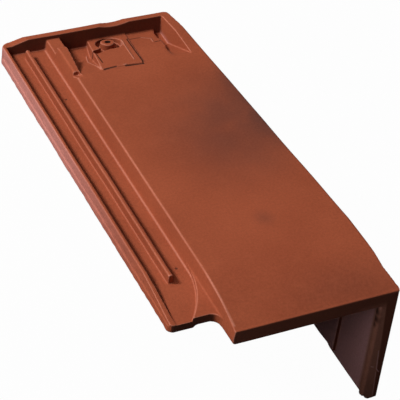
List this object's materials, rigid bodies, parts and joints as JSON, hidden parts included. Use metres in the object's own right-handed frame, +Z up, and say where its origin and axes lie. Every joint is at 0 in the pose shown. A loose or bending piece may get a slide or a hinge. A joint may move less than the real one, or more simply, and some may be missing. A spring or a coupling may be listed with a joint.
{
  "type": "verge roof tile",
  "caption": "Flat interlocking clay roof tile for a right-hand verge: side lock, head lock with nail boss, dropped nose and a flap that hangs down over the gable.",
  "frame": {"origin": "centre of the bounding box's foot, on the floor the tile rests on", "axes": "+Y from the nose to the head, +Z up, +X towards the verge flap; the field leans up towards +X as the tile rests"},
  "size_m": [0.2437, 0.436, 0.124],
  "materials": {
    "clay": "natural red fired clay, matt, unglazed"
  },
  "bodies": {
    "root": {"verge_tile": "clay"}
  },
  "joints": []
}
